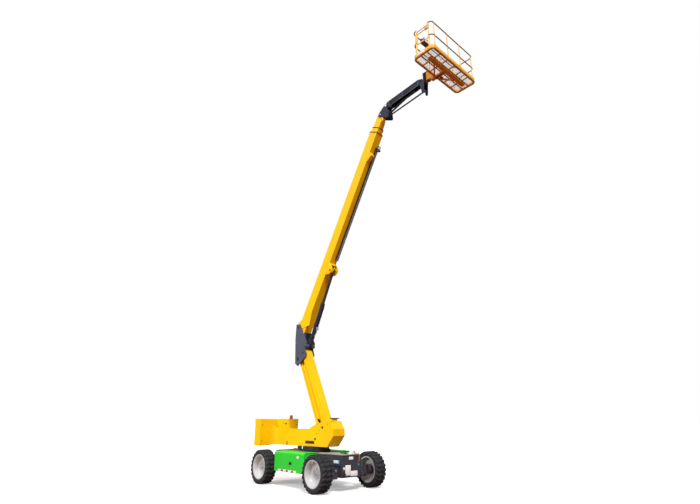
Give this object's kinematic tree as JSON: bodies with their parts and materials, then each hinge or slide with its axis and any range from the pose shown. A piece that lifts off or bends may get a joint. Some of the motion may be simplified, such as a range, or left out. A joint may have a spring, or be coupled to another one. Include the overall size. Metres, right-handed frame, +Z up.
{
  "type": "articulated boom lift",
  "caption": "Self-propelled articulated boom lift: wheeled chassis, slewing turntable, parallel lower arm, telescopic upper boom, jib and railed work platform.",
  "frame": {"origin": "bottom centre of the whole machine's box in its working pose, on the ground", "axes": "+X to the chassis's front, +Y to its left, +Z up"},
  "size_m": [9.2552, 3.1099, 14.0814],
  "materials": {
    "yellow_paint": "gloss",
    "dark_paint": "satin",
    "green_cover": "gloss",
    "tyre_rubber": "matte",
    "rim_silver": "satin",
    "black_steel": "satin",
    "rod_steel": "gloss",
    "deck_grey": "matte",
    "rail_grey": "satin",
    "mesh_steel": "satin",
    "pad_rubber": "matte",
    "amber_lens": "gloss",
    "hose_orange": "satin",
    "hose_silver": "satin",
    "battery_case": "matte",
    "console_plastic": "matte"
  },
  "bodies": {
    "chassis": {"chassis_frame": "dark_paint", "deck_plate": "deck_grey", "side_cover_left": "green_cover", "side_cover_right": "green_cover", "battery_pack": "battery_case", "front_axle": "dark_paint", "rear_axle": "dark_paint", "steer_cylinder": "dark_paint", "tie_down_eyes": "dark_paint", "slew_ring_base": "black_steel", "deck_handle": "rail_grey", "charge_socket": "black_steel", "charge_feed": "hose_orange"},
    "knuckle_left": {"knuckle_left": "dark_paint"},
    "knuckle_right": {"knuckle_right": "dark_paint"},
    "steer_rod": {"steer_rod": "rod_steel"},
    "turntable": {"turntable_frame": "yellow_paint", "nose_cover": "yellow_paint", "counterweight": "yellow_paint", "slew_ring_top": "black_steel", "slew_drive": "black_steel", "boom_rest": "yellow_paint", "rest_pad": "pad_rubber", "beacon": "amber_lens", "control_box": "yellow_paint"},
    "riser": {"riser_beam": "yellow_paint"},
    "riser_link": {"riser_link": "yellow_paint"},
    "riser_barrel": {"riser_barrel": "dark_paint"},
    "riser_ram": {"riser_ram": "rod_steel"},
    "upright": {"upright": "dark_paint"},
    "luff_barrel": {"luff_barrel": "dark_paint"},
    "luff_ram": {"luff_ram": "rod_steel"},
    "boom": {"boom_base": "yellow_paint", "hose_carrier": "dark_paint", "hose_loop": "hose_silver"},
    "boom_mid": {"boom_mid": "yellow_paint"},
    "boom_tip": {"boom_tip": "yellow_paint"},
    "level_bracket": {"level_bracket": "dark_paint"},
    "jib": {"jib_arm": "dark_paint"},
    "level_rod": {"level_rod": "dark_paint"},
    "jib_barrel": {"jib_barrel": "dark_paint"},
    "jib_ram": {"jib_ram": "rod_steel"},
    "jib_head": {"jib_head": "dark_paint"},
    "platform": {"platform_support": "yellow_paint", "platform_floor": "yellow_paint", "floor_mesh": "mesh_steel", "guard_rails": "rail_grey", "control_console": "console_plastic"},
    "platform_gate": {"platform_gate": "yellow_paint"},
    "wheel_front_left": {"tyre_front_left": "tyre_rubber", "rim_front_left": "rim_silver"},
    "wheel_front_right": {"tyre_front_right": "tyre_rubber", "rim_front_right": "rim_silver"},
    "wheel_rear_left": {"tyre_rear_left": "tyre_rubber", "rim_rear_left": "rim_silver"},
    "wheel_rear_right": {"tyre_rear_right": "tyre_rubber", "rim_rear_right": "rim_silver"}
  },
  "joints": [
    {"name": "steer_right", "type": "hinge", "parent": "chassis", "child": "knuckle_right", "pos_m": [-0.18683, -1.10545, 0.52], "axis": [0, 0, 1], "range_deg": [-30, 30]},
    {"name": "steer_left", "type": "hinge", "parent": "chassis", "child": "knuckle_left", "pos_m": [-0.18683, 0.49455, 0.52], "axis": [0, 0, 1], "range_deg": [-31, 31]},
    {"name": "steer_rod_slide", "type": "slide", "parent": "chassis", "child": "steer_rod", "axis": [0, 1, 0], "range_m": [-0.092, 0.092]},
    {"name": "wheel_front_left", "type": "hinge", "parent": "knuckle_left", "child": "wheel_front_left", "pos_m": [-0.18683, 0.75155, 0.52], "axis": [0, 1, 0], "continuous": true},
    {"name": "wheel_front_right", "type": "hinge", "parent": "knuckle_right", "child": "wheel_front_right", "pos_m": [-0.18683, -1.36245, 0.52], "axis": [0, 1, 0], "continuous": true},
    {"name": "wheel_rear_left", "type": "hinge", "parent": "chassis", "child": "wheel_rear_left", "pos_m": [-3.13383, 0.75155, 0.52], "axis": [0, 1, 0], "continuous": true},
    {"name": "wheel_rear_right", "type": "hinge", "parent": "chassis", "child": "wheel_rear_right", "pos_m": [-3.13383, -1.36245, 0.52], "axis": [0, 1, 0], "continuous": true},
    {"name": "slew", "type": "hinge", "parent": "chassis", "child": "turntable", "pos_m": [-1.66033, -0.30545, 1.165], "axis": [0, 0, 1], "continuous": true},
    {"name": "riser_lift", "type": "hinge", "parent": "turntable", "child": "riser", "pos_m": [-1.11135, -0.24775, 1.743], "axis": [-0.1045, 0.9945, 0], "range_deg": [-65, 9.5]},
    {"name": "link_swing", "type": "hinge", "parent": "turntable", "child": "riser_link", "pos_m": [-1.35998, -0.27388, 1.553], "axis": [-0.1045, 0.9945, 0], "range_deg": [-66, 10.5]},
    {"name": "upright_level", "type": "hinge", "parent": "riser", "child": "upright", "pos_m": [-2.2472, -0.36713, 4.22042], "axis": [-0.1045, 0.9945, 0], "range_deg": [-10.5, 66]},
    {"name": "riser_barrel_swing", "type": "hinge", "parent": "turntable", "child": "riser_barrel", "pos_m": [-1.43457, -0.28172, 1.393], "axis": [-0.1045, 0.9945, 0], "range_deg": [-60.83, 9.32]},
    {"name": "riser_ram_slide", "type": "slide", "parent": "riser_barrel", "child": "riser_ram", "axis": [-0.1733, -0.0182, 0.9847], "range_m": [-0.509, 0.0778]},
    {"name": "luff", "type": "hinge", "parent": "upright", "child": "boom", "pos_m": [-2.53163, -0.39703, 5.21042], "axis": [0.1045, -0.9945, 0], "range_deg": [-66.3, 12]},
    {"name": "luff_barrel_swing", "type": "hinge", "parent": "upright", "child": "luff_barrel", "pos_m": [-2.11791, -0.35355, 4.46042], "axis": [0.1045, -0.9945, 0], "range_deg": [-62.42, 11.71]},
    {"name": "luff_ram_slide", "type": "slide", "parent": "luff_barrel", "child": "luff_ram", "axis": [0.4034, 0.0424, 0.914], "range_m": [-0.9104, 0.1681]},
    {"name": "tele_mid", "type": "slide", "parent": "boom", "child": "boom_mid", "axis": [0.4623, 0.0486, 0.8854], "range_m": [-0.1, 5.2]},
    {"name": "tele_tip", "type": "slide", "parent": "boom_mid", "child": "boom_tip", "axis": [0.4623, 0.0486, 0.8854], "range_m": [-0.101, 5.201]},
    {"name": "level_bracket_turn", "type": "hinge", "parent": "boom_tip", "child": "level_bracket", "pos_m": [1.49421, 0.0261, 12.52277], "axis": [0.1045, -0.9945, 0], "range_deg": [-13, 67.3]},
    {"name": "jib_lift", "type": "hinge", "parent": "level_bracket", "child": "jib", "pos_m": [1.7508, 0.05307, 12.77977], "axis": [0.1045, -0.9945, 0], "range_deg": [-65, 60]},
    {"name": "level_rod_swing", "type": "hinge", "parent": "level_bracket", "child": "level_rod", "pos_m": [1.82041, 0.06039, 12.29977], "axis": [0.1045, -0.9945, 0], "range_deg": [-66, 61]},
    {"name": "jib_head_level", "type": "hinge", "parent": "jib", "child": "jib_head", "pos_m": [3.28521, 0.21435, 13.01035], "axis": [0.1045, -0.9945, 0], "range_deg": [-61, 66]},
    {"name": "jib_barrel_swing", "type": "hinge", "parent": "level_bracket", "child": "jib_barrel", "pos_m": [1.79058, 0.05725, 12.48777], "axis": [0.1045, -0.9945, 0], "range_deg": [-62.9, 58.1]},
    {"name": "jib_ram_slide", "type": "slide", "parent": "jib_barrel", "child": "jib_ram", "axis": [0.9345, 0.0982, 0.342], "range_m": [-0.3046, 0.2815]},
    {"name": "platform_swing", "type": "hinge", "parent": "jib_head", "child": "platform", "pos_m": [3.53583, 0.24069, 12.94035], "axis": [0, 0, 1], "range_deg": [-85.84, 94.16]},
    {"name": "gate_swing", "type": "hinge", "parent": "platform", "child": "platform_gate", "pos_m": [4.47157, -0.83552, 13.45535], "axis": [0, 0, -1], "range_deg": [0, 90]}
  ],
  "couplings": [
    {"joint": "steer_left", "follows": "steer_right", "ratio": 1},
    {"joint": "steer_rod_slide", "follows": "steer_right", "m_per_rad": -0.17189},
    {"joint": "link_swing", "follows": "riser_lift", "ratio": 1},
    {"joint": "upright_level", "follows": "riser_lift", "ratio": -1},
    {"joint": "riser_barrel_swing", "follows": "riser_lift", "ratio": 0.92816},
    {"joint": "riser_ram_slide", "follows": "riser_lift", "m_per_rad": 0.44514},
    {"joint": "luff_barrel_swing", "follows": "luff", "ratio": 0.934},
    {"joint": "luff_ram_slide", "follows": "luff", "m_per_rad": 0.78333},
    {"joint": "level_bracket_turn", "follows": "luff", "ratio": -1},
    {"joint": "tele_tip", "follows": "tele_mid", "ratio": 1},
    {"joint": "level_rod_swing", "follows": "jib_lift", "ratio": 1},
    {"joint": "jib_head_level", "follows": "jib_lift", "ratio": -1},
    {"joint": "jib_barrel_swing", "follows": "jib_lift", "ratio": 0.96},
    {"joint": "jib_ram_slide", "follows": "jib_lift", "m_per_rad": 0.265}
  ]
}
